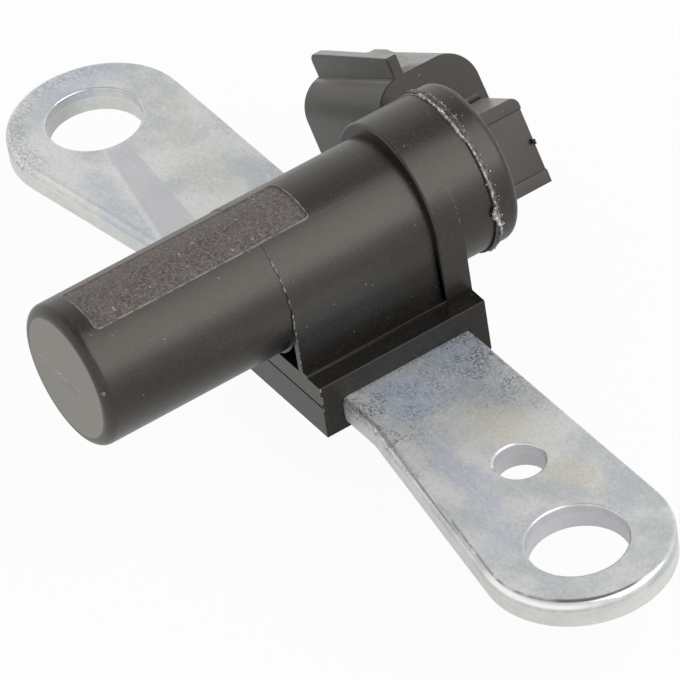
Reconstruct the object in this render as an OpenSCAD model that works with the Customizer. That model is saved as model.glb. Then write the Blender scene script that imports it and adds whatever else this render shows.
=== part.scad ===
// Crankshaft position sensor: an inductive pick-up on a steel bracket.
// Origin: midway between the two bolt holes, on the underside of the bracket.
// +X runs along the bracket, +Y from the sensing tip to the connector, +Z up.

/* [Bracket] */
// Distance between the two bolt holes
hole_pitch = 90; // [84:0.5:96]
// Diameter of the bolt holes
hole_d = 10.5; // [8:0.1:12]
// Diameter of the locating hole
pin_hole_d = 5.3; // [4:0.1:6]
// Locating hole, along the bracket from its middle
pin_hole_x = 31.4; // [28:0.1:34]
// Locating hole, behind the line of the bolt holes
pin_hole_y = 2.5; // [0:0.1:4]
// Thickness of the sheet
bracket_t = 3; // [2:0.1:4]
// Radius of the rounded ends
end_r = 10.1; // [9.6:0.1:10.3]
// Centre of each rounded end, inside its bolt hole centre
end_setback = 0.5; // [0:0.1:1]
// Straight back edge, behind the line of the bolt holes
bracket_back = 10.3; // [9.8:0.1:10.8]
// Waist edge, in front of the line of the bolt holes
bracket_front = 5.6; // [5:0.1:6.5]
// Where the waist ends and the arm starts to widen, from the middle
waist_half = 16.5; // [13:0.5:20]

/* [Barrel] */
// Height of the barrel axis over the bracket's underside
axis_z = 13.2; // [12.4:0.1:14]
// Diameter of the barrel
barrel_d = 16; // [15.4:0.1:16.4]
// Tip of the barrel, in front of the line of the bolt holes
tip_reach = 30.5; // [28:0.5:36]
// Rounding of the tip's rim
tip_round = 1.1; // [0.6:0.1:1.2]
// Wall of the barrel
barrel_wall = 1.4; // [1.2:0.1:1.6]
// Wall at the sensing tip
tip_wall = 1.2; // [0.8:0.1:1.6]
// Length of the rough marking field on the barrel
field_l = 25.8; // [20:0.1:26]
// Width of the marking field, across the top of the barrel
field_w = 7; // [5:0.1:8]
// Marking field, from the tip
field_from_tip = 2.8; // [2:0.1:4]
// Depth of the marking field
field_depth = 0.155; // [0.1:0.005:0.2]
// Corner radius of the marking field
field_corner = 0.4; // [0.3:0.05:1.2]

/* [Mounting block] */
// Width of the block along the bracket
block_w = 22.6; // [21:0.1:26]
// Front face of the block, in front of the line of the bolt holes
block_front = 8; // [7:0.1:9]
// Back face of the block, behind the line of the bolt holes
block_back = 12.6; // [11.6:0.1:13.6]
// Plastic over the bracket
block_over = 2.7; // [2:0.1:3]
// Plastic under the bracket
block_under = 0.95; // [0.6:0.05:1.5]
// Thickness of the side webs between barrel and block
web_t = 0.8; // [0.6:0.1:1.2]
// Step of the saddle over the barrel, at its sides
web_step = 0.18; // [0.16:0.01:0.25]
// Step of the saddle over the barrel, at the top
top_step = 0.03; // [0.01:0.01:0.06]
// Height of the ledge along the foot of each web
ledge_h = 0.3; // [0.2:0.1:0.5]
// Width of that ledge
ledge_w = 0.8; // [0.5:0.1:1.2]
// Depth and height of the parting groove on the block's front
groove = 0.15; // [0.1:0.05:0.3]

/* [Collar and cap] */
// Front face of the collar, behind the line of the bolt holes
collar_front = 9.4; // [8:0.1:10]
// Radius of the collar
collar_r = 9; // [8.8:0.1:9.4]
// Height of the collar's axis over the barrel's
collar_rise = 0.5; // [0.3:0.1:0.7]
// Weld seam between collar and cap, behind the line of the bolt holes
seam_y = 16.45; // [15.6:0.05:17]
// Wall of the collar round the cap's spigot
collar_wall = 1.6; // [1.4:0.1:1.8]
// Length of the cap's spigot inside the collar
spigot_l = 3.4; // [2.5:0.1:4]
// Thickness of the cap's disc
cap_t = 3.4; // [3:0.1:4]
// Rounding of the cap's back rim
cap_round = 1.1; // [0.6:0.1:1.3]
// Height of the weld bead over the collar
bead_h = 0.25; // [0.1:0.05:0.4]
// Width of the weld bead
bead_w = 0.6; // [0.3:0.1:0.9]

/* [Connector] */
// Tilt of the connector's axis from the bracket
conn_tilt = 30; // [25:1:35]
// Mouth of the connector, from the barrel axis
mouth_reach = 29.7; // [28:0.1:32]
// Closed end of the connector, from the barrel axis
conn_start = 10.5; // [10.2:0.1:12]
// Front side of the connector, behind the line of the bolt holes
conn_front = 16.7; // [16.6:0.1:17.5]
// Width of the connector, front to back
conn_w = 12.3; // [11.6:0.1:13.4]
// Height of the connector
conn_h = 18; // [17:0.1:20]
// Middle of the connector over the barrel axis
conn_rise = 0.4; // [0:0.1:0.8]
// Corner radius of the connector
conn_corner = 3.8; // [3:0.1:4.2]
// Wall of the connector
conn_wall = 1.4; // [1.2:0.1:1.6]
// Depth of the socket
socket_depth = 15.5; // [14:0.1:16]
// Guide rail, from the connector's front side
rail_from_front = 3.2; // [2.8:0.1:4]
// Thickness of the guide rail
rail_t = 1.3; // [1:0.1:2]
// Height of the guide rail at the mouth
rail_h = 2.55; // [1.5:0.05:3]
// Height of the guide rail at the closed end
rail_end_h = 2.25; // [1.2:0.05:2.5]
// Level part of the rail's top, from the mouth
rail_level_l = 3; // [2:0.1:6]
// Rounding of the rail's corner at the mouth
rail_round = 0.9; // [0.4:0.1:1.4]
// Length of the latch ramp
latch_l = 10.4; // [8:0.1:11]
// Latch ramp, from the mouth
latch_from_mouth = 3.6; // [2:0.1:6]
// Height of the latch ramp
latch_h = 1; // [0.6:0.1:1.4]
// Where the latch ramp is at its full height, from its start
latch_rise_l = 2.2; // [1:0.1:3]
// Length of the latch ramp's flat top
latch_flat_l = 3; // [2:0.1:4]
// Width of the latch ramp
latch_w = 4; // [3.6:0.1:4.6]
// Closed end of the neck, from the barrel axis
neck_reach = 3.7; // [3.4:0.1:4]
// Top of the neck over the barrel axis
neck_top = 3.2; // [2.8:0.1:4]
// Underside of the neck below the barrel axis
neck_bottom = 6.7; // [6:0.1:7.4]
// Height of the raised bands along the neck's top and bottom
band_h = 1.5; // [1:0.1:2]
// Height of the bands over the neck's panel
band_step = 0.3; // [0.2:0.05:0.4]
// Rounding of the neck's upper back corner
neck_round = 1; // [0.5:0.1:1.4]
// Radius of the fillet between neck and connector
neck_fillet = 0.8; // [0.5:0.1:1.5]

/* [Coil and magnet] */
// Diameter of the pole piece
pole_d = 4; // [3:0.1:4.4]
// Outer diameter of the bobbin's core
core_d = 5.8; // [5.4:0.1:6.6]
// Thickness of the bobbin's flanges
flange_t = 1; // [0.8:0.1:1.4]
// Length of the winding
winding_l = 19; // [15:0.5:20]
// Clearance between the winding's tape and the barrel
coil_gap = 0.75; // [0.4:0.05:1.5]
// Thickness of the tape round the winding
tape_t = 0.2; // [0.1:0.05:0.3]
// Diameter of the magnet
magnet_d = 8; // [7:0.1:8.4]
// Length of the magnet
magnet_l = 8; // [6:0.5:10]
// Thickness of the rear flange, from the winding to the magnet
rear_flange_t = 2.8; // [2:0.1:4]
// Clearance between the coil assembly's pieces
fit_gap = 0.05; // [0.03:0.01:0.1]
// Clearance of the coil assembly in the barrel
bore_gap = 0.15; // [0.1:0.05:0.25]

/* [Terminals] */
// Width of the terminal strips
strip_w = 1.5; // [1.2:0.1:1.8]
// Thickness of the terminal strips
strip_t = 0.6; // [0.5:0.05:0.8]
// Distance between the two terminals
strip_pitch = 4; // [3.6:0.1:4.2]
// Upper terminal over the barrel axis
strip_rise = 1.65; // [1.4:0.05:1.8]
// Middle of the terminals, inside the barrel's bore
strip_inset = 1.5; // [1.3:0.05:1.6]
// Blade tips inside the mouth
blade_inset = 2.5; // [1.5:0.1:4]
// Length of the blades' tapered points
point_l = 1.2; // [0.6:0.1:2]
// Thickness of the blades at their points
point_t = 0.2; // [0.1:0.05:0.4]

/* [Hidden] */
$fn = 96;
over = 1;

barrel_r = barrel_d / 2;
bore_r = barrel_r - barrel_wall;
block_top = bracket_t + block_over;
saddle_r = barrel_r + web_step;
saddle_rise = top_step - web_step;
saddle_l = block_front + collar_front + over;
spigot_r = collar_r - collar_wall;
spigot_y = seam_y - spigot_l;
cap_back = seam_y + cap_t;

conn_back = conn_front + conn_w;
conn_mid_y = conn_front + conn_w / 2;
conn_top = conn_rise + conn_h / 2;
neck_front = seam_y + cap_t / 2;
neck_l = conn_start - neck_reach;
shell_l = mouth_reach - conn_start;

coil_y = tip_wall - tip_reach;
winding_y = coil_y + flange_t;
rear_flange_y = winding_y + winding_l;
magnet_y = rear_flange_y + rear_flange_t;
magnet_end_y = magnet_y + magnet_l;
flange_r = bore_r - bore_gap;
pole_r = pole_d / 2;
core_r = core_d / 2;
tape_r = bore_r - coil_gap;
winding_r = tape_r - tape_t - fit_gap;
magnet_r = magnet_d / 2;
strip_start_y = rear_flange_y + rear_flange_t / 2;
strip_reach = bore_r - strip_inset;

// Bracket outline: the arms widen from the waist and run tangent into the round ends
end_x = hole_pitch / 2 - end_setback;
end_y = bracket_back - end_r;
to_end = [end_x - waist_half, end_y + bracket_front];
arm_angle = atan2(to_end[1], to_end[0]) - asin(end_r / norm(to_end));
arm_touch = [end_x + end_r * sin(arm_angle), end_y - end_r * cos(arm_angle)];

// Places its children along +Y, starting at y on the barrel axis or above it
module along_y(y, rise = 0) {
  translate([0, y, axis_z + rise]) rotate([-90, 0, 0]) children();
}

// A round bar along +Y
module bar(y, length, r, rise = 0) {
  along_y(y, rise) cylinder(h = length, r = r);
}

// Puts both its child and the child's mirror image across the middle plane
module both_sides() {
  children();
  mirror([1, 0, 0]) children();
}

// A rectangle with round corners, centred
module rounded_rect(w, h, r) {
  square([w - 2 * r, h], center = true);
  square([w, h - 2 * r], center = true);
  for (sx = [-1, 1], sy = [-1, 1]) {
    translate([sx * (w / 2 - r), sy * (h / 2 - r)]) circle(r);
  }
}

// Half section of a disc or bar with one round rim: radius r, length l, rim rounding rim
module round_rim(r, l, rim) {
  square([r - rim, l]);
  translate([0, rim]) square([r, l - rim]);
  translate([r - rim, rim]) circle(rim);
}

// The connector's own frame: +X along its axis away from the mouth, +Z to the rail side
module connector_frame() {
  translate([0, 0, axis_z]) rotate([0, -conn_tilt, 0]) children();
}

// Extrudes a front-to-back by height section along the connector's axis
module along_connector(x, length) {
  translate([x, 0, 0]) rotate([90, 0, 90]) linear_extrude(length) children();
}

module bracket_outline() {
  both_sides() {
    translate([end_x, end_y]) circle(end_r);
    polygon([
      [0, -bracket_front], [waist_half, -bracket_front], arm_touch, [end_x, end_y], [end_x, bracket_back],
      [0, bracket_back]
    ]);
  }
}

module bracket() {
  color("silver") linear_extrude(bracket_t) difference() {
    bracket_outline();
    both_sides() translate([hole_pitch / 2, 0]) circle(hole_d / 2);
    translate([pin_hole_x, pin_hole_y]) circle(pin_hole_d / 2);
  }
}

module barrel() {
  along_y(-tip_reach) rotate_extrude() round_rim(barrel_r, tip_reach + collar_front + over, tip_round);
}

// Shallow rough field on top of the barrel
module marking_field() {
  mid_y = field_from_tip + field_l / 2 - tip_reach;
  intersection() {
    translate([0, mid_y, axis_z]) linear_extrude(barrel_d) rounded_rect(field_w, field_l, field_corner);
    difference() {
      bar(-tip_reach, tip_reach + collar_front, barrel_d);
      bar(-tip_reach - over, tip_reach + collar_front + 2 * over, barrel_r - field_depth);
    }
  }
}

// Skin round the rear of the barrel, with a web down to the block on each side
module saddle() {
  bar(-block_front, saddle_l, saddle_r, saddle_rise);
  both_sides() translate([saddle_r - web_t, -block_front, block_top - over]) {
    cube([web_t, saddle_l, axis_z + saddle_rise - block_top + over]);
    cube([web_t + ledge_w, saddle_l, ledge_h + over]);
  }
}

module mounting_block() {
  difference() {
    translate([-block_w / 2, -block_front, -block_under]) {
      cube([block_w, block_front + block_back, block_top + block_under]);
    }
    translate([-block_w / 2 - over, -block_front - over, bracket_t]) {
      cube([block_w + 2 * over, groove + over, groove]);
    }
  }
}

// Collar ring whose sides run straight down to the block
module collar() {
  bar(collar_front, seam_y - collar_front, collar_r, collar_rise);
  translate([-collar_r, collar_front, block_top - over]) {
    cube([2 * collar_r, block_back - collar_front, axis_z + collar_rise - block_top + over]);
  }
}

module housing() {
  color([0.24, 0.23, 0.22]) difference() {
    union() {
      barrel();
      saddle();
      mounting_block();
      collar();
    }
    marking_field();
    bar(coil_y, spigot_y - coil_y + over, bore_r);
    bar(spigot_y, spigot_l + over, spigot_r, collar_rise);
    translate([-block_w / 2 - over, -bracket_front, 0]) {
      cube([block_w + 2 * over, bracket_front + bracket_back, bracket_t]);
    }
  }
}

// Disc with its weld bead, spigot and the post that holds the magnet down
module cap_disc() {
  along_y(cap_back, collar_rise) mirror([0, 0, 1]) rotate_extrude() round_rim(collar_r, cap_t, cap_round);
  bar(seam_y, bead_w, collar_r + bead_h, collar_rise);
  bar(spigot_y, spigot_l + over, spigot_r - fit_gap, collar_rise);
  bar(magnet_end_y, spigot_y - magnet_end_y + over, magnet_r - fit_gap);
}

// Neck that carries the terminals from the cap to the connector
module neck() {
  neck_w = conn_back - neck_front;
  along_connector(-conn_start, neck_l - band_step) {
    translate([neck_front, -neck_bottom]) square([neck_w, neck_bottom + neck_top - band_h]);
  }
  along_connector(-conn_start, neck_l) {
    translate([neck_front, -neck_bottom]) square([neck_w, band_h]);
    translate([neck_front, neck_top - band_h]) {
      square([neck_w - neck_round, band_h]);
      square([neck_w, band_h - neck_round]);
      intersection() {
        square([neck_w, band_h]);
        translate([neck_w - neck_round, band_h - neck_round]) circle(neck_round);
      }
    }
  }
  translate([-conn_start, conn_back - neck_round, neck_top]) rotate([90, 0, 0]) {
    linear_extrude(neck_w - neck_round) difference() {
      translate([-over, -over]) square(neck_fillet + over);
      translate([neck_fillet, neck_fillet]) circle(neck_fillet);
    }
  }
}

module connector_section(inset = 0) {
  translate([conn_mid_y, conn_rise]) {
    rounded_rect(conn_w - 2 * inset, conn_h - 2 * inset, conn_corner - inset);
  }
}

// Puts a profile along the connector's axis on its top, starting at x, with its back at y
module on_connector(x, y, w) {
  translate([x, y, conn_top]) rotate([90, 0, 0]) linear_extrude(w) children();
}

// Side view of the guide rail: rounded at the mouth, its top falls a little towards the closed end
module rail_profile() {
  corner = [rail_round, rail_h - rail_round];
  translate(corner) circle(rail_round);
  polygon([
    [0, -conn_corner], [0, corner[1]], corner, [rail_round, rail_h], [rail_level_l, rail_h],
    [shell_l, rail_end_h], [shell_l, -conn_corner]
  ]);
}

// Side view of the latch ramp
module latch_profile() {
  polygon([
    [0, -over], [0, 0], [latch_rise_l, latch_h], [latch_rise_l + latch_flat_l, latch_h], [latch_l, 0],
    [latch_l, -over]
  ]);
}

module connector_shell() {
  along_connector(-mouth_reach, shell_l) connector_section();
  on_connector(-mouth_reach, conn_front + rail_from_front + rail_t, rail_t) rail_profile();
  on_connector(latch_from_mouth - mouth_reach, conn_mid_y + latch_w / 2, latch_w) latch_profile();
}

module end_cap() {
  color([0.22, 0.21, 0.2]) difference() {
    union() {
      cap_disc();
      connector_frame() {
        neck();
        connector_shell();
      }
    }
    connector_frame() along_connector(-mouth_reach - over, socket_depth + over) {
      connector_section(conn_wall);
    }
    terminal(strip_rise);
    terminal(strip_rise - strip_pitch);
  }
}

// Front and rear flanges on a core, with a rear holder for the magnet
module bobbin() {
  color([0.85, 0.82, 0.72]) difference() {
    union() {
      bar(coil_y, flange_t, flange_r);
      bar(coil_y, magnet_y - coil_y, core_r);
      bar(rear_flange_y, spigot_y - rear_flange_y, flange_r);
    }
    bar(coil_y - over, magnet_y - coil_y + over, pole_r + fit_gap);
    bar(magnet_y, spigot_y - magnet_y + over, magnet_r + fit_gap);
    terminal(strip_rise);
    terminal(strip_rise - strip_pitch);
  }
}

module winding() {
  color([0.72, 0.4, 0.2]) difference() {
    bar(winding_y, winding_l, winding_r);
    bar(winding_y - over, winding_l + 2 * over, core_r + fit_gap);
  }
}

module winding_tape() {
  color([0.85, 0.72, 0.25]) difference() {
    bar(winding_y, winding_l, tape_r);
    bar(winding_y - over, winding_l + 2 * over, tape_r - tape_t);
  }
}

module pole_piece() {
  color([0.5, 0.5, 0.52]) bar(coil_y, magnet_y - coil_y, pole_r);
}

module magnet() {
  color([0.35, 0.35, 0.38]) bar(magnet_y, magnet_l, magnet_r);
}

// Bent strip: a leg back along the coil, then a pointed blade along the connector to its mouth
module terminal(rise) {
  tip_x = blade_inset - mouth_reach;
  leg_x = strip_t / 2 - strip_reach;
  half_t = strip_t / 2;
  connector_frame() translate([0, 0, rise - strip_w / 2]) linear_extrude(strip_w) {
    translate([leg_x - strip_t, strip_start_y]) square([strip_t, conn_mid_y + half_t - strip_start_y]);
    translate([0, conn_mid_y]) polygon([
      [tip_x, -point_t / 2], [tip_x + point_l, -half_t], [leg_x, -half_t], [leg_x, half_t],
      [tip_x + point_l, half_t], [tip_x, point_t / 2]
    ]);
  }
}

module upper_terminal() {
  color("gold") terminal(strip_rise);
}

module lower_terminal() {
  color("gold") terminal(strip_rise - strip_pitch);
}

bracket();
housing();
end_cap();
bobbin();
winding();
winding_tape();
pole_piece();
magnet();
upper_terminal();
lower_terminal();
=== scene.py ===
"""Crankshaft position sensor: looks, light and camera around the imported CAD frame."""
import math
import random

import bmesh
import bpy
from mathutils import Matrix, Vector, noise


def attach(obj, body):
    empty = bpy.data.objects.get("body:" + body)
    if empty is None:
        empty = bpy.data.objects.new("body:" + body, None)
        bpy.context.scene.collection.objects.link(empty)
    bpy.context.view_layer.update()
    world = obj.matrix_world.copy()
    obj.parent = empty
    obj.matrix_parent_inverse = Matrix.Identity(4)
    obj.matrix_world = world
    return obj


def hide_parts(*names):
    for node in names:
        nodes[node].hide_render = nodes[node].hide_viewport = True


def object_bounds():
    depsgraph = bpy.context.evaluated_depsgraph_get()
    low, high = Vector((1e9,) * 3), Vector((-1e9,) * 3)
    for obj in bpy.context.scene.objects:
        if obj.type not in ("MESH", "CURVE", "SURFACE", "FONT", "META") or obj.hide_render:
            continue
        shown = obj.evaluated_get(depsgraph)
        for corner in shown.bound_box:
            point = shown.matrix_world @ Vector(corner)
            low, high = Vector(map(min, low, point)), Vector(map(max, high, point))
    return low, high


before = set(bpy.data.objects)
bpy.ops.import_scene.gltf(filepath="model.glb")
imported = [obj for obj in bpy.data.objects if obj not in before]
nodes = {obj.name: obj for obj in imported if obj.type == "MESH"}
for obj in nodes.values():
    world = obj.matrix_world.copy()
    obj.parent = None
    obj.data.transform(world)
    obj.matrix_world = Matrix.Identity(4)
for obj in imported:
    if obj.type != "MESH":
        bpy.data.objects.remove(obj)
cad_box = [list(corner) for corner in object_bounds()]

# Sizes of the solids that the looks refer to, in millimetres
MM = 0.001
AXIS_Z = 13.2
BARREL_R = 8.0
TIP_Y = -30.5
TIP_DISC_R = 6.85
FIELD_HALF_W = 3.5
FIELD_Y = (-27.7, -1.9)
FIELD_CORNER = 0.4
SADDLE_Y = -8.0
SADDLE_R = 8.18
SADDLE_Z = 13.05
BLOCK_HALF_W = 11.3
BLOCK_TOP_Z = 5.7
BRACKET_T = 3.0
LEFT_BOLT_X = -45.0
RIGHT_BOLT_X = 45.0
HOLES = ((LEFT_BOLT_X, 0.0, 5.25), (RIGHT_BOLT_X, 0.0, 5.25), (31.4, 2.5, 2.65))
COLLAR_FRONT_Y = 9.4
COLLAR_R = 9.0
COLLAR_Z = 13.7
SEAM_Y = 16.45
CAP_BACK_Y = 19.85
BEAD_W = 0.6
BEAD_H = 0.25
CONN_TILT = math.radians(30)
CONN_CLOSED_X = -10.5
NECK_SIDES = (18.15, 28.0)


# Node helpers

def put(tree, socket, value):
    """Links another socket to this one, or sets a plain value."""
    if isinstance(value, bpy.types.NodeSocket):
        tree.links.new(value, socket)
    else:
        socket.default_value = value


def add(tree, kind, inputs=None, **settings):
    made = tree.nodes.new(kind)
    for key, value in settings.items():
        setattr(made, key, value)
    for key, value in (inputs or {}).items():
        put(tree, made.inputs[key], value)
    return made


def calc(tree, operation, a, b=0.0):
    return add(tree, "ShaderNodeMath", {0: a, 1: b}, operation=operation).outputs[0]


def times(tree, *values):
    product = values[0]
    for value in values[1:]:
        product = calc(tree, "MULTIPLY", product, value)
    return product


def sloped(tree, value, slope, start):
    """Slope times value, plus start."""
    made = add(tree, "ShaderNodeMath", {0: value, 1: slope, 2: start}, operation="MULTIPLY_ADD")
    return made.outputs[0]


def length(tree, a, b):
    """Length of a line that reaches a along one axis and b along another."""
    return calc(tree, "SQRT", calc(tree, "ADD", times(tree, a, a), times(tree, b, b)))


def measure(tree, operation, a, b=(0.0, 0.0, 0.0)):
    """A number from one or two vectors."""
    made = add(tree, "ShaderNodeVectorMath", {0: a, 1: b}, operation=operation)
    return made.outputs["Value"]


def split(tree, vector):
    return add(tree, "ShaderNodeSeparateXYZ", {0: vector}).outputs


def surface_normal(tree):
    return add(tree, "ShaderNodeNewGeometry").outputs["Normal"]


def blend(tree, factor, a, b):
    return add(tree, "ShaderNodeMix", {0: factor, 6: a, 7: b}, data_type="RGBA").outputs[2]


def tint(tree, colour, own, *masks):
    """The colour with its own one laid over it, as strong as the product of the masks."""
    return blend(tree, times(tree, *masks), colour, own)


def roughen(tree, roughness, level, mask):
    """The roughness with another level where the mask is."""
    return blend(tree, mask, roughness, (level, level, level, 1))


def ramp(tree, value, low, high, out_low=0.0, out_high=1.0):
    """A smooth step from out_low at low to out_high at high."""
    made = add(tree, "ShaderNodeMapRange", {0: value, 1: low, 2: high, 3: out_low, 4: out_high})
    made.interpolation_type = "SMOOTHSTEP"
    return made.outputs[0]


def fall(tree, value, low, high):
    """A smooth step from 1 at low to 0 at high."""
    return ramp(tree, value, low, high, 1.0, 0.0)


def band(tree, value, middle, half, soft):
    """1 within half of the middle, falling to 0 over the soft width."""
    off = calc(tree, "ABSOLUTE", calc(tree, "SUBTRACT", value, middle))
    return fall(tree, off, half, half + soft)


def grain(tree, place, scale, detail=2.0, rough=0.55):
    inputs = {"Vector": place, "Scale": scale, "Detail": detail, "Roughness": rough}
    return add(tree, "ShaderNodeTexNoise", inputs).outputs["Fac"]


def sway_of(tree, noise_value, reach):
    """A noise value as a shift to both sides."""
    return calc(tree, "MULTIPLY", calc(tree, "SUBTRACT", noise_value, 0.5), reach)


def stretched(tree, place, factors, turn=(0.0, 0.0, 0.0)):
    made = add(tree, "ShaderNodeMapping", {"Vector": place, "Rotation": turn, "Scale": factors})
    return made.outputs[0]


def specks(tree, place, scale, share, size):
    """Scattered round dots: a share of the cells has one, of up to the given size in cells."""
    cells = add(tree, "ShaderNodeTexVoronoi", {"Vector": place, "Scale": scale})
    parts = add(tree, "ShaderNodeSeparateColor", {0: cells.outputs["Color"]})
    present = calc(tree, "LESS_THAN", parts.outputs[0], share)
    reach = sloped(tree, parts.outputs[1], size * 0.7, size * 0.3)
    near = calc(tree, "LESS_THAN", cells.outputs["Distance"], reach)
    return calc(tree, "MULTIPLY", near, present)


def scratches(tree, place, scale, turn, width):
    """Thin faint lines along one direction."""
    lines = grain(tree, stretched(tree, place, (0.04, 1.0, 1.0), turn), scale, 1.0)
    off = calc(tree, "ABSOLUTE", calc(tree, "SUBTRACT", lines, 0.5))
    return fall(tree, off, 0.0, width)


def patch(tree, place, sway, centre, radii, turn):
    """A soft oval patch on the plate with an uneven edge: 1 at its centre, 0 outside."""
    middle = (centre[0], centre[1], 0.0)
    shifted = add(tree, "ShaderNodeVectorMath", {0: place, 1: middle}, operation="SUBTRACT").outputs[0]
    shifted = stretched(tree, shifted, (1.0, 1.0, 1.0), (0.0, 0.0, -turn))
    scaled = stretched(tree, shifted, (1 / radii[0], 1 / radii[1], 0.0))
    far = measure(tree, "LENGTH", scaled)
    return fall(tree, calc(tree, "ADD", far, sway), 0.3, 1.1)


def material(name, metallic=0.0, specular=0.5):
    """A new material: its node tree, its shader and the place in millimetres."""
    made = bpy.data.materials.new(name)
    made.use_nodes = True
    tree = made.node_tree
    shader = tree.nodes["Principled BSDF"]
    shader.inputs["Metallic"].default_value = metallic
    shader.inputs["Specular IOR Level"].default_value = specular
    coords = add(tree, "ShaderNodeTexCoord").outputs["Object"]
    place = add(tree, "ShaderNodeVectorMath", {0: coords, "Scale": 1 / MM}, operation="SCALE")
    return made, tree, shader, place.outputs[0]


def finish_look(tree, shader, colour, roughness, height, depth_mm):
    """Links what a look has come to into its shader."""
    bump = add(tree, "ShaderNodeBump", {"Height": height, "Distance": depth_mm * MM})
    put(tree, shader.inputs["Base Color"], colour)
    put(tree, shader.inputs["Roughness"], roughness)
    put(tree, shader.inputs["Normal"], bump.outputs[0])


# Dark moulded plastic

PLASTIC_DARK = (0.0062, 0.0055, 0.0048, 1)
PLASTIC_LIGHT = (0.0098, 0.0088, 0.0077, 1)
PLASTIC_ROUGH = 0.34
PLASTIC_GRAIN_DEPTH = 0.006
PLASTIC_SHINE = 0.72
PLASTIC_SHINE_TINT = (1.0, 0.94, 0.86, 1)
DUST = (0.3, 0.285, 0.265, 1)
LOW_MOULDING_Z = 9.5
LOW_MOULDING_SHINE = 0.55
CONN_SHINE = 0.74


def plastic_look(name):
    """A satin plastic with dust and fine scratches; its colour, roughness and height stay open."""
    made, tree, shader, place = material(name, specular=PLASTIC_SHINE)
    shader.inputs["Specular Tint"].default_value = PLASTIC_SHINE_TINT
    tone = ramp(tree, grain(tree, place, 0.15, 3.0), 0.3, 0.7)
    colour = blend(tree, tone, PLASTIC_DARK, PLASTIC_LIGHT)
    mottle = grain(tree, place, 5.0, 3.0)
    colour = tint(tree, colour, (0.075, 0.068, 0.06, 1), ramp(tree, mottle, 0.52, 0.75, 0.0, 0.3))
    haze = ramp(tree, grain(tree, place, 2.6, 4.0, 0.8), 0.57, 0.7, 0.0, 0.3)
    colour = tint(tree, colour, (0.11, 0.102, 0.092, 1), haze)
    lines = calc(
        tree, "MAXIMUM",
        scratches(tree, place, 1.6, (0.3, 0.2, 0.5), 0.004),
        scratches(tree, place, 1.2, (1.2, 0.6, 1.9), 0.003),
    )
    worn = ramp(tree, grain(tree, place, 0.25, 2.0), 0.52, 0.68)
    colour = tint(tree, colour, (0.2, 0.19, 0.18, 1), lines, worn, 0.35)
    fine_dust = specks(tree, place, 1.1, 0.3, 0.11)
    dust = calc(tree, "MAXIMUM", fine_dust, specks(tree, place, 0.4, 0.22, 0.055))
    colour = tint(tree, colour, DUST, dust, 0.6)
    roughness = ramp(tree, mottle, 0.3, 0.7, PLASTIC_ROUGH - 0.05, PLASTIC_ROUGH + 0.06)
    height = calc(tree, "ADD", mottle, calc(tree, "MULTIPLY", dust, 2.0))
    return made, tree, shader, place, colour, roughness, height


TIP_SCRATCH_Z = -0.22
TIP_NOTCH_Z = -0.45


def tip_disc(tree, place, x, y, rise, colour, roughness):
    """Flat scuffed disc on the tip, with a dotted scratch, a notch and a few nicks."""
    on_tip = calc(tree, "LESS_THAN", y, TIP_Y + 0.3)
    disc = times(tree, fall(tree, length(tree, x, rise), TIP_DISC_R - 0.12, TIP_DISC_R + 0.05), on_tip)
    scuff = scratches(tree, place, 1.1, (0.0, 0.9, 0.0), 0.02)
    fine = grain(tree, place, 9.0, 3.0, 0.7)
    own = blend(tree, scuff, (0.21, 0.2, 0.176, 1), (0.25, 0.239, 0.212, 1))
    own = tint(tree, own, (0.262, 0.25, 0.22, 1), ramp(tree, fine, 0.4, 0.75))
    smudge = ramp(tree, grain(tree, place, 0.5, 3.0), 0.4, 0.62, 0.0, 0.5)
    own = tint(tree, own, (0.205, 0.2, 0.186, 1), smudge)
    swayed = calc(tree, "ADD", rise, sway_of(tree, grain(tree, place, 1.5, 2.0), 0.9))
    dots = ramp(tree, grain(tree, place, 4.5, 2.0), 0.5, 0.58)
    line = times(tree, band(tree, swayed, TIP_SCRATCH_Z, 0.06, 0.1), band(tree, x, -1.2, 4.2, 0.4))
    own = tint(tree, own, (0.46, 0.45, 0.42, 1), line, dots, 0.9)
    notch = times(tree, band(tree, swayed, TIP_NOTCH_Z, 0.08, 0.08), band(tree, x, 1.5, 0.75, 0.3))
    own = tint(tree, own, (0.05, 0.046, 0.04, 1), notch, 0.85)
    own = tint(tree, own, (0.44, 0.43, 0.4, 1), specks(tree, place, 0.75, 0.3, 0.09), 0.8)
    return tint(tree, colour, own, disc), roughen(tree, roughness, 0.5, disc)


def beyond_field(tree, x, y):
    """Distance outside the rounded rectangle of the marking field, below 0 inside it."""
    mid_y = (FIELD_Y[0] + FIELD_Y[1]) / 2
    half_l = (FIELD_Y[1] - FIELD_Y[0]) / 2
    over_x = calc(tree, "SUBTRACT", calc(tree, "ABSOLUTE", x), FIELD_HALF_W - FIELD_CORNER)
    over_y = calc(tree, "ABSOLUTE", calc(tree, "SUBTRACT", y, mid_y))
    over_y = calc(tree, "SUBTRACT", over_y, half_l - FIELD_CORNER)
    out_x = calc(tree, "MAXIMUM", over_x, 0.0)
    out_y = calc(tree, "MAXIMUM", over_y, 0.0)
    beyond = calc(tree, "SUBTRACT", length(tree, out_x, out_y), FIELD_CORNER)
    inner = calc(tree, "MINIMUM", calc(tree, "MAXIMUM", over_x, over_y), 0.0)
    return calc(tree, "ADD", beyond, inner)


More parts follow.
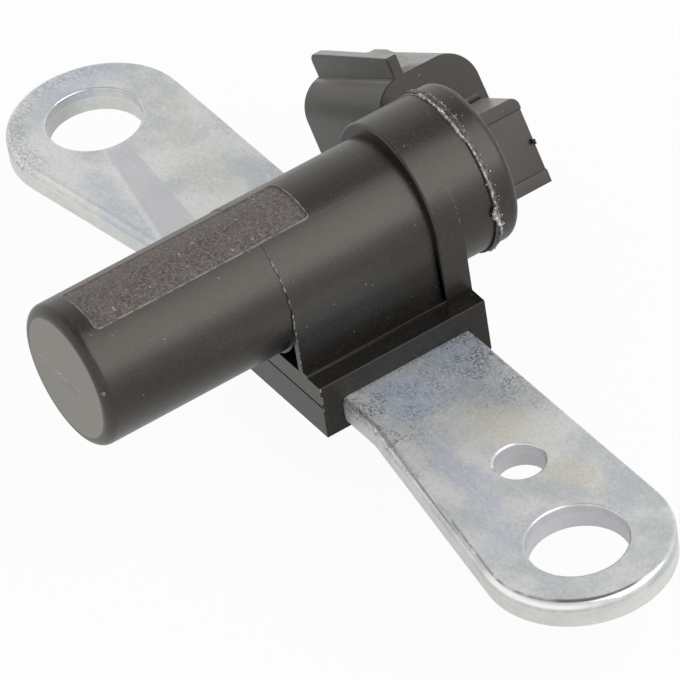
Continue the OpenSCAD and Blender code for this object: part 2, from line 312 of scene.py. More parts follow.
def marking_field(tree, place, x, y, rise, colour, roughness, height):
    """Rough marking field on top of the barrel, with a pale line round it that is a painted highlight,
    strongest on the near side, and painted light on the far wall of its recess.
    """
    beyond = beyond_field(tree, x, y)
    on_top = calc(tree, "GREATER_THAN", rise, BARREL_R * 0.85)
    field = times(tree, fall(tree, beyond, 0.02, 0.05), on_top)
    blotch = ramp(tree, grain(tree, place, 0.35, 3.0), 0.35, 0.65)
    own = blend(tree, blotch, (0.04, 0.031, 0.029, 1), (0.056, 0.048, 0.045, 1))
    speckle = grain(tree, place, 3.4, 4.0, 0.75)
    own = tint(tree, own, (0.125, 0.106, 0.1, 1), ramp(tree, speckle, 0.4, 0.62))
    flecks = ramp(tree, grain(tree, place, 4.0, 3.0, 0.8), 0.58, 0.68)
    own = tint(tree, own, (0.34, 0.31, 0.3, 1), flecks, 0.7)
    own = tint(tree, own, (0.5, 0.47, 0.45, 1), specks(tree, place, 1.5, 0.25, 0.2), 0.6)
    colour = tint(tree, colour, own, field)
    # Painted highlight: a pale line round the field, stronger towards the near side.
    edge = times(
        tree, band(tree, beyond, 0.07, 0.05, 0.06), on_top, ramp(tree, x, -2.5, 1.0, 0.35, 1.0),
        ramp(tree, grain(tree, place, 1.3, 2.0), 0.35, 0.6, 0.2, 0.75),
    )
    colour = tint(tree, colour, (0.24, 0.23, 0.21, 1), edge)
    # Painted light on the far wall of the recess, covering the shade it would show.
    far_side = ramp(tree, x, -3.2, -2.8, 0.8, 0.0)
    far_wall_painted_light = times(tree, band(tree, beyond, 0.0, 0.04, 0.04), far_side, on_top)
    colour = tint(tree, colour, (0.3, 0.28, 0.26, 1), far_wall_painted_light)
    height = calc(tree, "ADD", height, times(tree, speckle, field, 5.0))
    return colour, roughen(tree, roughness, 0.62, field), height


COLLAR_SCRATCH_Y = 12.4
COLLAR_SCRATCH_TURN = math.radians(70)


def collar_scratch(tree, place, x, y, z, colour):
    """Faint dashed scratch round the collar."""
    turn = calc(tree, "ARCTAN2", x, calc(tree, "SUBTRACT", z, COLLAR_Z))
    dashes = ramp(tree, grain(tree, place, 1.4, 2.0), 0.46, 0.56)
    on_line = band(tree, y, COLLAR_SCRATCH_Y, 0.03, 0.05)
    stretch = band(tree, turn, COLLAR_SCRATCH_TURN, 0.2, 0.05)
    return tint(tree, colour, (0.3, 0.29, 0.27, 1), on_line, stretch, dashes, 0.4)


def lower_shine(tree, y, z):
    """Shine of the housing: duller low on the saddle, the webs and the block, less so on front faces."""
    behind_step = ramp(tree, y, SADDLE_Y - 0.12, SADDLE_Y - 0.04)
    low_down = fall(tree, z, LOW_MOULDING_Z, SADDLE_Z)
    on_leg = times(
        tree, ramp(tree, y, COLLAR_FRONT_Y - 0.1, COLLAR_FRONT_Y),
        ramp(tree, z, BLOCK_TOP_Z + 0.3, BLOCK_TOP_Z + 0.7),
    )
    in_front = ramp(tree, split(tree, surface_normal(tree))[1], -0.95, -0.8, 0.55, 0.0)
    spared = calc(tree, "MAXIMUM", on_leg, in_front)
    dull = times(tree, behind_step, low_down, calc(tree, "SUBTRACT", 1.0, spared))
    return ramp(tree, dull, 0.0, 1.0, PLASTIC_SHINE, PLASTIC_SHINE * LOW_MOULDING_SHINE)


def make_housing_plastic():
    made, tree, shader, place, colour, roughness, height = plastic_look("housing_plastic")
    x, y, z = split(tree, place)
    rise = calc(tree, "SUBTRACT", z, AXIS_Z)
    colour, roughness = tip_disc(tree, place, x, y, rise, colour, roughness)
    colour, roughness, height = marking_field(tree, place, x, y, rise, colour, roughness, height)
    colour = collar_scratch(tree, place, x, y, z, colour)
    put(tree, shader.inputs["Specular IOR Level"], lower_shine(tree, y, z))
    finish_look(tree, shader, colour, roughness, height, PLASTIC_GRAIN_DEPTH)
    return made


def weld_bead(tree, place, y, radius, colour, roughness):
    """Scuffed bead along the weld."""
    raised = times(
        tree, band(tree, y, SEAM_Y + BEAD_W / 2, BEAD_W / 2, 0.1),
        ramp(tree, radius, COLLAR_R + 0.02, COLLAR_R + BEAD_H - 0.06),
        calc(tree, "LESS_THAN", radius, COLLAR_R + BEAD_H + 0.1),
    )
    scuff = ramp(tree, grain(tree, place, 2.0, 3.0, 0.7), 0.4, 0.66, 0.0, 0.5)
    colour = tint(tree, colour, (0.2, 0.19, 0.175, 1), raised, scuff)
    return colour, roughen(tree, roughness, 0.55, raised)


def painted_top_sheen(tree, place, y, radius, colour):
    """Painted sheen: the upward faces of the neck and the connector made lighter, unevenly."""
    upward = (-math.sin(CONN_TILT), 0.0, math.cos(CONN_TILT))
    facing = measure(tree, "DOT_PRODUCT", surface_normal(tree), upward)
    behind_disc = calc(tree, "GREATER_THAN", y, CAP_BACK_Y - 0.05)
    beside_disc = calc(tree, "GREATER_THAN", radius, COLLAR_R + 0.4)
    off_disc = calc(tree, "MAXIMUM", behind_disc, beside_disc)
    uneven = ramp(tree, grain(tree, place, 1.8, 4.0, 0.7), 0.3, 0.6, 0.7, 1.0)
    # Painted highlight: faces that look upward are lightened as if catching sheen.
    return tint(tree, colour, (0.27, 0.26, 0.245, 1), ramp(tree, facing, 0.9, 0.99), off_disc, uneven)


def shell_shine(tree, place):
    """Shine of the end cap: duller on the connector's shell."""
    forward = (math.cos(CONN_TILT), 0.0, math.sin(CONN_TILT))
    reach = measure(tree, "DOT_PRODUCT", place, forward)
    closed_end = CONN_CLOSED_X + AXIS_Z * math.sin(CONN_TILT)
    dull = PLASTIC_SHINE * CONN_SHINE
    return ramp(tree, reach, closed_end + 0.1, closed_end + 0.4, dull, PLASTIC_SHINE)


def make_cap_plastic():
    made, tree, shader, place, colour, roughness, height = plastic_look("cap_plastic")
    x, y, z = split(tree, place)
    radius = length(tree, x, calc(tree, "SUBTRACT", z, COLLAR_Z))
    colour, roughness = weld_bead(tree, place, y, radius, colour, roughness)
    # Painted sheen on the upward faces of the neck and the connector.
    colour = painted_top_sheen(tree, place, y, radius, colour)
    put(tree, shader.inputs["Specular IOR Level"], shell_shine(tree, place))
    finish_look(tree, shader, colour, roughness, height, PLASTIC_GRAIN_DEPTH)
    return made


def make_flash_plastic(name, low, high):
    """Torn, matte plastic of the flash."""
    made, tree, shader, place = material(name)
    torn = grain(tree, place, 2.4, 4.0, 0.75)
    colour = blend(tree, ramp(tree, torn, 0.42, 0.62), low, high)
    roughness = ramp(tree, torn, 0.3, 0.7, 0.5, 0.7)
    finish_look(tree, shader, colour, roughness, grain(tree, place, 7.0, 3.0), 0.02)
    return made


# Zinc plating of the bracket

ZINC_DARK = (0.54, 0.56, 0.57, 1)
ZINC_LIGHT = (0.73, 0.735, 0.715, 1)
BLUE = (0.47, 0.53, 0.62, 1)
DEEP_BLUE = (0.5, 0.58, 0.72, 1)
LAVENDER = (0.55, 0.56, 0.64, 1)
YELLOW = (0.7, 0.66, 0.54, 1)

# Tints of the passivated zinc, as middle, half sizes, turn, colour and strength
ZINC_PATCHES = (
    ((14.5, 3.5), (7.5, 7.0), 0.0, BLUE, 0.65),
    ((12.8, 7.4), (3.2, 3.4), 0.0, DEEP_BLUE, 0.7),
    ((15.6, -0.6), (4.4, 3.8), -0.5, DEEP_BLUE, 0.75),
    ((11.9, -2.2), (2.2, 2.8), 0.0, LAVENDER, 0.6),
    ((29.5, -3.2), (9.5, 2.6), -0.06, LAVENDER, 0.9),
    ((40.0, -6.0), (4.5, 2.6), -0.6, LAVENDER, 0.65),
    ((25.5, 4.4), (5.5, 3.5), 0.3, YELLOW, 0.6),
    ((37.2, 5.8), (5.0, 2.6), 0.4, YELLOW, 0.55),
    ((41.0, 8.0), (4.0, 1.8), -0.3, BLUE, 0.4),
    ((-51.5, 2.5), (3.4, 8.0), 0.2, BLUE, 0.55),
    ((-30.0, -6.4), (9.0, 2.2), -0.1, BLUE, 0.45),
    ((-41.0, 7.2), (6.0, 3.0), 0.0, YELLOW, 0.2),
    ((-31.0, 4.2), (10.0, 3.6), 0.0, YELLOW, 0.3),
    ((-25.5, 8.0), (6.0, 2.4), 0.0, BLUE, 0.25),
)
SHEAR_Z = 1.75
LEFT_RIM_CENTRE = (-44.5, 0.2, 3.0)
# Turns round the right end where the painted dark reflection and the painted highlight on the roll are
# strongest
ROLL_DARK_REFLECTION_TURN = math.radians(-22)
ROLL_HIGHLIGHT_TURN = math.radians(-66)

# Edges of the smooth wedge on the left arm, as slope and start of Y by X
WEDGE_UPPER = (-0.1035, -3.5)
WEDGE_LOWER = (-0.2053, -10.17)


def smooth_wedge(tree, x, y):
    """A wedge along the left arm, tinted darker and with weaker grain, and the pale line beside it."""
    upper = sloped(tree, x, *WEDGE_UPPER)
    above = calc(tree, "SUBTRACT", y, sloped(tree, x, *WEDGE_LOWER))
    left_of_block = fall(tree, x, -12.0, -11.0)
    inside = times(
        tree, ramp(tree, above, -0.1, 0.15), ramp(tree, calc(tree, "SUBTRACT", upper, y), -0.1, 0.2),
        left_of_block, ramp(tree, x, -40.5, -38.5),
    )
    line = times(tree, band(tree, above, -0.3, 0.12, 0.25), left_of_block, ramp(tree, x, -40.0, -36.0))
    return inside, line


def sandy_grain(tree, place, x, y, sway, colour):
    """Dark grain and glints on the right arm next to the block and on the rim of the left end."""
    aside = calc(tree, "ABSOLUTE", calc(tree, "SUBTRACT", y, 1.5))
    reach = calc(tree, "ADD", x, calc(tree, "MULTIPLY", sway, 6.0))
    reach = calc(tree, "SUBTRACT", reach, ramp(tree, aside, 2.5, 7.0, 0.0, 3.5))
    near_block = times(tree, ramp(tree, x, 9.0, 11.0), fall(tree, reach, 15.0, 26.0))
    uneven = ramp(tree, grain(tree, place, 0.45, 3.0), 0.38, 0.58, 0.15, 1.0)
    uneven = times(tree, uneven, ramp(tree, aside, 1.5, 7.0, 0.7, 1.15))
    sand = ramp(tree, grain(tree, place, 3.0, 4.0, 0.85), 0.48, 0.54)
    glint = grain(tree, stretched(tree, place, (1.0, 1.3, 1.0)), 3.2, 3.0, 0.8)
    glint = ramp(tree, glint, 0.57, 0.63)
    colour = tint(tree, colour, (0.16, 0.18, 0.21, 1), near_block, uneven, sand, 0.85)
    colour = tint(tree, colour, (0.9, 0.91, 0.93, 1), near_block, glint, 0.75)

    from_centre = measure(tree, "DISTANCE", place, LEFT_RIM_CENTRE)
    left_end = times(tree, fall(tree, x, -44.0, -40.0), ramp(tree, y, 1.0, 7.0, 1.0, 0.3))
    left_rim = times(tree, ramp(tree, from_centre, 7.2, 8.6), left_end)
    colour = tint(tree, colour, (0.28, 0.29, 0.31, 1), left_rim, sand, 0.6)
    colour = tint(tree, colour, (0.92, 0.93, 0.93, 1), left_rim, glint, 0.8)
    return colour, times(tree, sand, near_block, 1.5)


def crystal_grain(tree, place, wedge, colour):
    """Fine dark and pale crystals, weaker on the smooth wedge, and faint streaks."""
    crystals = grain(tree, place, 2.6, 4.0, 0.8)
    plain = calc(tree, "SUBTRACT", 1.0, calc(tree, "MULTIPLY", wedge, 0.7))
    dark_grain = ramp(tree, crystals, 0.5, 0.66, 0.0, 0.34)
    colour = tint(tree, colour, (0.38, 0.4, 0.43, 1), dark_grain, plain)
    pale_grain = ramp(tree, crystals, 0.34, 0.46, 0.4, 0.0)
    colour = tint(tree, colour, (0.84, 0.85, 0.85, 1), pale_grain, plain)
    streaks = grain(tree, stretched(tree, place, (0.12, 1.6, 1.0), (0.0, 0.0, 0.35)), 1.4, 3.0)
    colour = tint(tree, colour, (0.82, 0.83, 0.82, 1), ramp(tree, streaks, 0.58, 0.75, 0.0, 0.28))
    return colour, crystals


def sheared_walls(tree, place, z, upright, colour):
    """Cut walls: smooth above, matte and whitish below a thin pale line, which is a painted highlight on
    the edge between the two.
    """
    torn = times(tree, fall(tree, z, SHEAR_Z - 0.35, SHEAR_Z), upright)
    wall_grain = ramp(tree, grain(tree, place, 0.9, 3.0), 0.3, 0.7)
    wall = blend(tree, wall_grain, (0.72, 0.73, 0.69, 1), (0.79, 0.8, 0.76, 1))
    colour = tint(tree, colour, wall, torn, 0.85)
    # Painted highlight: the thin pale line between the smooth and the torn band.
    line = band(tree, z, SHEAR_Z, 0.06, 0.12)
    return tint(tree, colour, (0.86, 0.87, 0.85, 1), line, upright, 0.5), torn


def hole_walls(tree, x, y, upright, colour):
    """Walls of the holes: greyer on one side of the left one, a lavender film in the two right ones."""
    in_middle = times(tree, upright, band(tree, y, 0.0, 6.0, 0.5))
    in_left_hole = times(tree, in_middle, band(tree, x, LEFT_BOLT_X, 5.6, 0.4))
    colour = tint(tree, colour, (0.38, 0.39, 0.37, 1), in_left_hole, fall(tree, y, -1.5, 3.0), 0.6)
    in_right_holes = times(tree, in_middle, ramp(tree, x, 26.0, 28.0), fall(tree, x, 50.6, 51.0))
    return tint(tree, colour, (0.6, 0.585, 0.65, 1), in_right_holes, 0.5)


def rolled_edge_painted_light(tree, place, x, y, z, facing_up, colour):
    """Painted reflections on the rolled upper edge of the right arm: a dark line next to the top face,
    then a bright one.
    """
    on_roll = ramp(tree, z, 2.0, 2.25)
    turn = calc(tree, "ARCTAN2", y, calc(tree, "SUBTRACT", x, RIGHT_BOLT_X))
    dark_reflection_turn = times(tree, band(tree, turn, ROLL_DARK_REFLECTION_TURN, 0.38, 0.25), ramp(tree, x, 42.0, 46.0))
    near_side = times(tree, fall(tree, y, -8.0, -7.0), ramp(tree, x, 18.0, 36.0))
    uneven = ramp(tree, grain(tree, place, 0.6, 3.0), 0.38, 0.56)
    dark_reflection_part = calc(tree, "MAXIMUM", dark_reflection_turn, times(tree, near_side, uneven, 0.6))
    # Painted dark reflection and painted highlight on the roll, placed by its facing and its turn round
    # the end.
    painted_dark_reflection = times(tree, band(tree, facing_up, 0.92, 0.045, 0.03), on_roll)
    colour = tint(tree, colour, (0.1, 0.09, 0.08, 1), painted_dark_reflection, dark_reflection_part, 0.8)
    highlight_turn = times(tree, band(tree, turn, ROLL_HIGHLIGHT_TURN, 0.42, 0.4), ramp(tree, x, 38.0, 43.0))
    painted_highlight_band = times(tree, band(tree, facing_up, 0.6, 0.22, 0.1), on_roll)
    return tint(tree, colour, (0.95, 0.95, 0.94, 1), painted_highlight_band, highlight_turn, 0.85)


def make_zinc():
    made, tree, shader, place = material("zinc_steel", metallic=0.72)
    x, y, z = split(tree, place)
    facing_up = split(tree, surface_normal(tree))[2]
    upright = fall(tree, calc(tree, "ABSOLUTE", facing_up), 0.2, 0.55)

    cloud = grain(tree, place, 0.11, 4.0, 0.6)
    colour = blend(tree, ramp(tree, cloud, 0.38, 0.6), ZINC_DARK, ZINC_LIGHT)
    sway = sway_of(tree, grain(tree, place, 0.3, 4.0, 0.6), 1.6)
    for centre, radii, turn, own, strength in ZINC_PATCHES:
        colour = tint(tree, colour, own, patch(tree, place, sway, centre, radii, turn), strength)
    wedge, wedge_line = smooth_wedge(tree, x, y)
    colour = tint(tree, colour, (0.55, 0.55, 0.585, 1), wedge, 0.7)
    colour = tint(tree, colour, (0.74, 0.75, 0.76, 1), wedge_line, 0.6)
    colour, sand_height = sandy_grain(tree, place, x, y, sway, colour)
    colour, crystals = crystal_grain(tree, place, wedge, colour)
    colour, torn = sheared_walls(tree, place, z, upright, colour)
    colour = hole_walls(tree, x, y, upright, colour)
    # Painted dark reflection and painted highlight along the rolled edge of the right arm.
    colour = rolled_edge_painted_light(tree, place, x, y, z, facing_up, colour)

    rolled = times(tree, band(tree, facing_up, 0.66, 0.26, 0.04), ramp(tree, z, 1.8, 2.2))
    roughness = roughen(tree, ramp(tree, cloud, 0.3, 0.7, 0.42, 0.52), 0.24, rolled)
    roughness = roughen(tree, roughness, 0.6, torn)
    finish_look(tree, shader, colour, roughness, calc(tree, "ADD", crystals, sand_height), 0.008)
    return made


# Looks of the pieces inside

def make_plain_plastic(name, low, high):
    made, tree, shader, place = material(name)
    tone = grain(tree, place, 0.4, 3.0)
    colour = blend(tree, ramp(tree, tone, 0.35, 0.65), low, high)
    roughness = ramp(tree, tone, 0.3, 0.7, 0.38, 0.5)
    finish_look(tree, shader, colour, roughness, grain(tree, place, 4.0), PLASTIC_GRAIN_DEPTH)
    return made


def make_copper():
    """Enamelled wire, with its turns as bands along the barrel and painted shade in the grooves between
    them.
    """
    made, tree, shader, place = material("copper", metallic=1.0)
    inputs = {"Vector": place, "Scale": 1.6, "Distortion": 0.4, "Detail": 1.0}
    turns = add(tree, "ShaderNodeTexWave", inputs, bands_direction="Y").outputs["Fac"]
    tone = grain(tree, place, 0.5, 3.0)
    colour = blend(tree, ramp(tree, tone, 0.3, 0.7), (0.5, 0.2, 0.08, 1), (0.68, 0.3, 0.13, 1))
    # Painted shade: darker in the grooves where the turns meet.
    colour = tint(tree, colour, (0.1, 0.035, 0.015, 1), ramp(tree, turns, 0.0, 0.4, 0.7, 0.0))
    finish_look(tree, shader, colour, ramp(tree, tone, 0.3, 0.7, 0.25, 0.4), turns, 0.06)
    return made


def make_metal(name, low, high, rough):
    """Drawn metal with a grain along the barrel."""
    made, tree, shader, place = material(name, metallic=1.0)
    drawn = grain(tree, stretched(tree, place, (3.0, 0.15, 3.0)), 2.0, 3.0)
    colour = blend(tree, ramp(tree, drawn, 0.3, 0.7), low, high)
    roughness = ramp(tree, drawn, 0.3, 0.7, rough - 0.06, rough + 0.08)
    finish_look(tree, shader, colour, roughness, drawn, 0.004)
    return made


# Pieces

def between(value, stops):
    """Straight lines through stops of value and result."""
    for (low, a), (high, b) in zip(stops, stops[1:]):
        if value <= high:
            return a + (b - a) * max(0.0, value - low) / (high - low)
    return stops[-1][1]


def wear(piece, look):
    piece.data.materials.clear()
    piece.data.materials.append(look)


def new_piece(name, shape):
    """A piece from a finished bmesh, riding on the one body."""
    mesh = bpy.data.meshes.new(name)
    shape.to_mesh(mesh)
    shape.free()
    piece = bpy.data.objects.new(name, mesh)
    bpy.context.scene.collection.objects.link(piece)
    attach(piece, "root")
    return piece


# Dressed copies of the moulded and punched solids

SHARP_ANGLE = math.radians(24)


def dressed_copy(node, name, width_at, segments):
    """A welded copy of a solid with rounded edges; width_at gives an edge's rounding in millimetres."""
    shape = bmesh.new()
    shape.from_mesh(nodes[node].data)
    bmesh.ops.remove_doubles(shape, verts=shape.verts, dist=0.002 * MM)
    bmesh.ops.dissolve_limit(shape, angle_limit=math.radians(0.4), verts=shape.verts, edges=shape.edges)
    weights = shape.edges.layers.float.new("bevel_weight_edge")
    widest = 0.0
    chosen = []
    for edge in shape.edges:
        edge.smooth = True
        if len(edge.link_faces) != 2:
            continue
        angle = edge.calc_face_angle_signed(0.0)
        if abs(angle) < SHARP_ANGLE:
            continue
        edge.smooth = False
        middle = (edge.verts[0].co + edge.verts[1].co) / 2 / MM
        width = width_at(middle, angle > 0, edge)
        if width > 0:
            chosen.append((edge, width))
            widest = max(widest, width)
    for edge, width in chosen:
        edge[weights] = width / widest
        edge.smooth = True
    for face in shape.faces:
        face.smooth = True
    piece = new_piece(name, shape)
    rounding = piece.modifiers.new("rounding", "BEVEL")
    rounding.limit_method = "WEIGHT"
    rounding.width = widest * MM
    rounding.segments = segments
    rounding.use_clamp_overlap = False
    rounding.miter_outer = "MITER_SHARP"
    normals = piece.modifiers.new("normals", "WEIGHTED_NORMAL")
    normals.keep_sharp = True
    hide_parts(node)
    return piece


UNDERSIDE_ROUNDING = 0.15
HOLE_ROUNDING = 0.3

# Roll of the bracket's upper edge by Y, and what the right end adds to it by its angle in degrees
UPPER_ROLL = ((2.0, 0.8), (9.5, 0.25))
RIGHT_END_ROLL = (
    (-90, 0.0), (-75, 0.06), (-55, 0.27), (-45, 0.3), (-35, 0.27), (-5, 0.06), (15, 0.0), (90, 0.0),
)


def bracket_width(at, convex, edge):
    if abs(edge.verts[0].co.z - edge.verts[1].co.z) > 0.5 * MM:
        return 0.0
    if at.z < BRACKET_T / 2:
        return UNDERSIDE_ROUNDING
    for x, y, radius in HOLES:
        if abs(math.hypot(at.x - x, at.y - y) - radius) < 0.1:
            return HOLE_ROUNDING
    roll = between(at.y, UPPER_ROLL)
    if at.x > RIGHT_BOLT_X:
        roll += between(math.degrees(math.atan2(at.y, at.x - RIGHT_BOLT_X)), RIGHT_END_ROLL)
    return roll


COLLAR_ROUNDING = 0.3
BLOCK_SIDE_ROUNDING = 0.16
BLOCK_ROUNDING = 0.07


def housing_width(at, convex, edge):
    radius = math.hypot(at.x, at.z - AXIS_Z)
    above_block = at.z > BLOCK_TOP_Z + 0.5
    in_bore = radius < BARREL_R - 0.3 and at.y > TIP_Y + 0.5 and at.z > BLOCK_TOP_Z + 0.8
    level_with_bracket = abs(at.z - BRACKET_T / 2) < BRACKET_T / 2 + 0.02
    in_slot = abs(at.x) < BLOCK_HALF_W - 0.05 and level_with_bracket and at.y > -7
    on_field = at.y < 0 and abs(at.x) < FIELD_HALF_W + 0.1 and at.z > AXIS_Z + 6
    on_step = abs(at.y - SADDLE_Y) < 0.05 and above_block
    if not convex or in_bore or in_slot or on_field or on_step:
        return 0.0
    if abs(at.y - COLLAR_FRONT_Y) < 0.05 and at.z > BLOCK_TOP_Z + 0.3:
        return COLLAR_ROUNDING
    if above_block:
        return 0.0
    return BLOCK_SIDE_ROUNDING if abs(at.x) > BLOCK_HALF_W - 0.3 else BLOCK_ROUNDING


def connector_place(at):
    """A point in the connector's own frame, in millimetres."""
    x = at.x * math.cos(CONN_TILT) + (at.z - AXIS_Z) * math.sin(CONN_TILT)
    z = (at.z - AXIS_Z) * math.cos(CONN_TILT) - at.x * math.sin(CONN_TILT)
    return Vector((x, at.y, z))


# The cap's roundings, and the neck's fillet and closed end in the connector's own frame
SHELL_ROUNDING = 0.2
NECK_END_ROUNDING = 0.15
NECK_END_X = -4.3
FILLET_Z = (3.0, 4.1)


def cap_width(at, convex, edge):
    own = connector_place(at)
    on_side = min(abs(at.y - y) for y in NECK_SIDES) < 0.02
    beside_fillet = on_side and own.x > CONN_CLOSED_X - 0.02 and FILLET_Z[0] < own.z < FILLET_Z[1]
    if not convex or beside_fillet:
        return 0.0
    if own.x < CONN_CLOSED_X + 0.2:
        return SHELL_ROUNDING
    behind_bead = at.y > SEAM_Y + BEAD_W + 0.15
    return NECK_END_ROUNDING if behind_bead and own.x > NECK_END_X else 0.0


zinc = make_zinc()
housing_plastic = make_housing_plastic()
cap_plastic = make_cap_plastic()
flash_plastic = make_flash_plastic("flash_plastic", (0.16, 0.152, 0.145, 1), (0.66, 0.64, 0.62, 1))
parting_plastic = make_flash_plastic("parting_plastic", (0.06, 0.055, 0.05, 1), (0.36, 0.34, 0.31, 1))

plate = dressed_copy("bracket", "bracket_plate", bracket_width, 6)
wear(plate, zinc)
housing = dressed_copy("housing", "housing_moulding", housing_width, 3)
wear(housing, housing_plastic)
cap = dressed_copy("end_cap", "end_cap_moulding", cap_width, 3)
wear(cap, cap_plastic)

wear(nodes["bobbin"], make_plain_plastic("bobbin_plastic", (0.6, 0.55, 0.42, 1), (0.72, 0.67, 0.54, 1)))
wear(nodes["winding"], make_copper())
wear(nodes["winding_tape"], make_plain_plastic("tape", (0.6, 0.4, 0.05, 1), (0.7, 0.5, 0.09, 1)))
wear(nodes["pole_piece"], make_metal("soft_iron", (0.36, 0.35, 0.34, 1), (0.48, 0.47, 0.46, 1), 0.4))
wear(nodes["magnet"], make_metal("magnet", (0.2, 0.2, 0.21, 1), (0.3, 0.3, 0.31, 1), 0.5))
brass = make_metal("terminal_brass", (0.62, 0.5, 0.26, 1), (0.75, 0.62, 0.36, 1), 0.3)
wear(nodes["upper_terminal"], brass)
wear(nodes["lower_terminal"], brass)


# Ragged flash that the welding and the moulding left

BOX_TOP = cad_box[1][2] / MM - 0.003
BOX_BACK = cad_box[1][1] / MM - 0.003
STRAND_SECTION = ((-1.0, 0.0), (-0.7, 0.65), (0.0, 1.0), (0.7, 0.6), (1.0, 0.0))
STRAND_LEAST_ROWS = 4
FOOT_DEPTH = 0.06


def strand(shape, rows, closed):
    """A torn ridge through rows of middle, outward direction, half width along Y and height."""
    made = []
    for middle, outward, half, height in rows:
        ring = []
        for across, rise in STRAND_SECTION:
            at = middle + outward * (rise * (height + FOOT_DEPTH) - FOOT_DEPTH)
            at = at + Vector((0.0, across * half, 0.0))
            at.z = min(at.z, BOX_TOP)
            ring.append(shape.verts.new(at * MM))
        made.append(ring)
    count = len(STRAND_SECTION)
    pairs = list(zip(made, made[1:]))
    if closed:
        pairs.append((made[-1], made[0]))
    else:
        shape.faces.new(made[0])
        shape.faces.new(list(reversed(made[-1])))
    for here, after in pairs:
        for k in range(count):
            n = (k + 1) % count
            shape.faces.new((here[k], after[k], after[n], here[n]))


def broken_strand(shape, rows):
    """Strands through the stretches of rows between gaps, which are None."""
    stretch = []
    for row in rows + [None]:
        if row is not None:
            stretch.append(row)
            continue
        if len(stretch) >= STRAND_LEAST_ROWS:
            strand(shape, stretch, False)
        stretch = []


def lump(shape, centre, radii, seed):
    """A small torn crumb."""
    ball = bmesh.ops.create_icosphere(shape, subdivisions=2, radius=1.0)
    for vert in ball["verts"]:
        swell = 1 + 0.7 * noise.noise(vert.co * 2.1 + Vector((seed, 0, 0)))
        at = Vector(centre) + Vector([c * r * swell for c, r in zip(vert.co, radii)])
        at.z = min(at.z, BOX_TOP)
        at.y = min(at.y, BOX_BACK)
        vert.co = at * MM


def round_axis(turn, radius, y, axis_z):
    """A point round an axis along Y and the direction outward there."""
    outward = Vector((math.sin(turn), 0.0, math.cos(turn)))
    return outward * radius + Vector((0.0, y, axis_z)), outward


def finish_flash(name, shape, look):
    bmesh.ops.recalc_face_normals(shape, faces=shape.faces)
    for face in shape.faces:
        face.smooth = True
    piece = new_piece(name, shape)
    wear(piece, look)


RING_STEPS = 540

# Place along Y and share of the height of the front line, by angle in degrees
FRONT_RING_Y = (
    (-180, 16.9), (-60, 16.5), (25, 16.4), (45, 16.62), (80, 16.68), (115, 17.2), (180, 16.9),
)
FRONT_RING_RISE = ((-180, 1.0), (-75, 1.0), (-55, 0.2), (-24, 0.2), (-15, 1.0), (180, 1.0))


def front_ring(shape, draw):
    """The nearly unbroken torn line on the front of the weld bead."""
    rows = []
    for step in range(RING_STEPS):
        degrees = -180 + 360 * step / RING_STEPS
        turn = math.radians(degrees)
        walk = Vector((math.sin(turn) * 4, math.cos(turn) * 4, 5.0))
        y = between(degrees, FRONT_RING_Y) + 0.1 * noise.noise(walk * 1.8)
        half = 0.15 + 0.08 * noise.noise(walk * 2.4 + Vector((9, 0, 0))) + draw.uniform(-0.05, 0.06)
        height = 0.39 + 0.1 * noise.noise(walk * 3.5) + draw.uniform(-0.08, 0.08)
        height = height * between(degrees, FRONT_RING_RISE)
        middle, outward = round_axis(turn, COLLAR_R, y, COLLAR_Z)
        rows.append((middle, outward, half, height))
    strand(shape, rows, True)


def back_ring(shape, draw):
    """The broken second line behind it."""
    rows = []
    for step in range(RING_STEPS):
        turn = 2 * math.pi * step / RING_STEPS
        walk = Vector((math.sin(turn) * 4, math.cos(turn) * 4, 31.0))
        body = noise.noise(walk * 1.5)
        if body < -0.28:
            rows.append(None)
            continue
        y = SEAM_Y + BEAD_W + 0.03 + 0.08 * noise.noise(walk * 1.1)
        half = 0.06 + 0.06 * max(0.0, body) + draw.uniform(-0.02, 0.03)
        height = 0.17 + 0.22 * max(0.0, body) + draw.uniform(-0.05, 0.07)
        middle, outward = round_axis(turn, COLLAR_R, y, COLLAR_Z)
        rows.append((middle, outward, half, height))
    broken_strand(shape, rows)


# Crumbs by angle in degrees, place along Y and size
CRUMBS = (
    (5, 17.25, 0.12), (10, 17.3, 0.1), (26, 17.2, 0.16), (33, 17.3, 0.12), (70, 17.35, 0.14),
    (100, 17.3, 0.15),
)
CURL = (
    (85, 16.5, 0.24), (87, 16.4, 0.3), (89, 16.3, 0.34), (91, 16.25, 0.26), (92, 16.45, 0.32),
    (95, 16.6, 0.28), (98, 16.75, 0.26), (101, 16.95, 0.24), (104, 17.05, 0.2), (108, 17.15, 0.18),
)
LOOSE_CRUMBS = 90


def weld_crumbs(shape, draw):
    """Torn crumbs behind the seam and a curl of flash at its right side."""
    for degrees, y, size in CRUMBS:
        middle, _ = round_axis(math.radians(degrees), COLLAR_R + 0.3 * size, y, COLLAR_Z)
        lump(shape, middle, (size, size * 0.8, size * 0.7), degrees)
    for degrees, y, size in CURL:
        middle, _ = round_axis(math.radians(degrees), COLLAR_R + BEAD_H + 0.3 * size, y, COLLAR_Z)
        lump(shape, middle, (size * 0.7, size * 0.8, size), degrees)
    for index in range(LOOSE_CRUMBS):
        degrees = draw.uniform(-40, 250)
        size = draw.uniform(0.04, 0.12)
        y = SEAM_Y + draw.uniform(-0.1, 0.95)
        middle, _ = round_axis(math.radians(degrees), COLLAR_R + BEAD_H * 0.6, y, COLLAR_Z)
        lump(shape, middle, (size, size * draw.uniform(0.7, 1.3), size), index)


def weld_flash():
    draw = random.Random(5)
    shape = bmesh.new()
    front_ring(shape, draw)
    back_ring(shape, draw)
    weld_crumbs(shape, draw)
    finish_flash("weld_flash", shape, flash_plastic)


